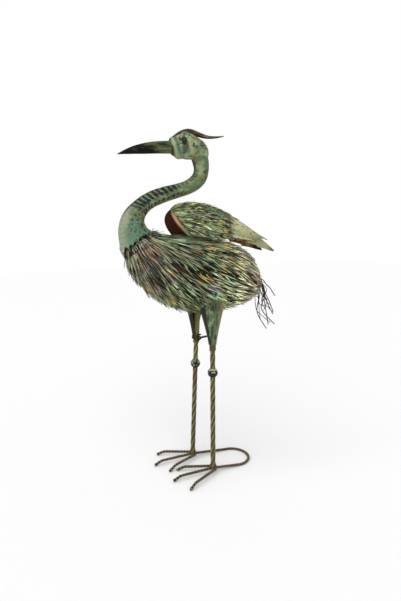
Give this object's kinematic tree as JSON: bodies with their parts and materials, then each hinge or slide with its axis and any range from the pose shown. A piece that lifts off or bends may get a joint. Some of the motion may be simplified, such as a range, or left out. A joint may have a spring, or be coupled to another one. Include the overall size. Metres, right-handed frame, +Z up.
{
  "type": "garden heron figure",
  "caption": "Standing heron in layered sheet metal on twisted bar legs, with bent bar toes and a loop behind the feet to stand on",
  "frame": {"origin": "on the ground, under the middle of the whole figure's box", "axes": "+Z is up, the bird faces -X with its beak, and its left side is at -Y"},
  "size_m": [0.4766, 0.2196, 0.94],
  "materials": {
    "verdigris_paint": "pale green verdigris patina with olive and rust showing through, semi-matt",
    "feather_paint": "olive, green and rust patina over fringed sheet feathers, dark in the gaps",
    "beak_paint": "olive green at the head, going to near black at the tip",
    "crest_paint": "dark brown and olive patina",
    "eye_enamel": "black gloss with a white dot",
    "leg_paint": "olive bronze paint, worn dark in the twists",
    "rusty_bar": "ribbed bar with brown rust under worn green paint",
    "dark_wire": "dark brown iron wire"
  },
  "bodies": {
    "root": {"beak": "beak_paint", "head": "verdigris_paint", "crest": "crest_paint", "eye_left": "eye_enamel", "eye_right": "eye_enamel", "neck": "verdigris_paint", "body": "feather_paint", "wing_left": "feather_paint", "wing_right": "feather_paint", "tail_wire_1": "dark_wire", "tail_wire_2": "dark_wire", "tail_wire_3": "dark_wire", "tail_wire_4": "dark_wire", "tail_wire_5": "dark_wire", "tail_wire_6": "dark_wire", "tail_wire_7": "dark_wire", "thigh_plate_left": "verdigris_paint", "thigh_plate_right": "verdigris_paint", "leg_tube_left": "leg_paint", "leg_tube_right": "leg_paint", "leg_brace": "dark_wire", "knee_ball_left": "verdigris_paint", "knee_ball_right": "verdigris_paint", "leg_bar_left": "leg_paint", "leg_bar_right": "leg_paint", "foot_loop_and_middle_toes": "rusty_bar", "toe_inner_left": "rusty_bar", "toe_inner_right": "rusty_bar", "toe_outer_left": "rusty_bar", "toe_outer_right": "rusty_bar"}
  },
  "joints": []
}
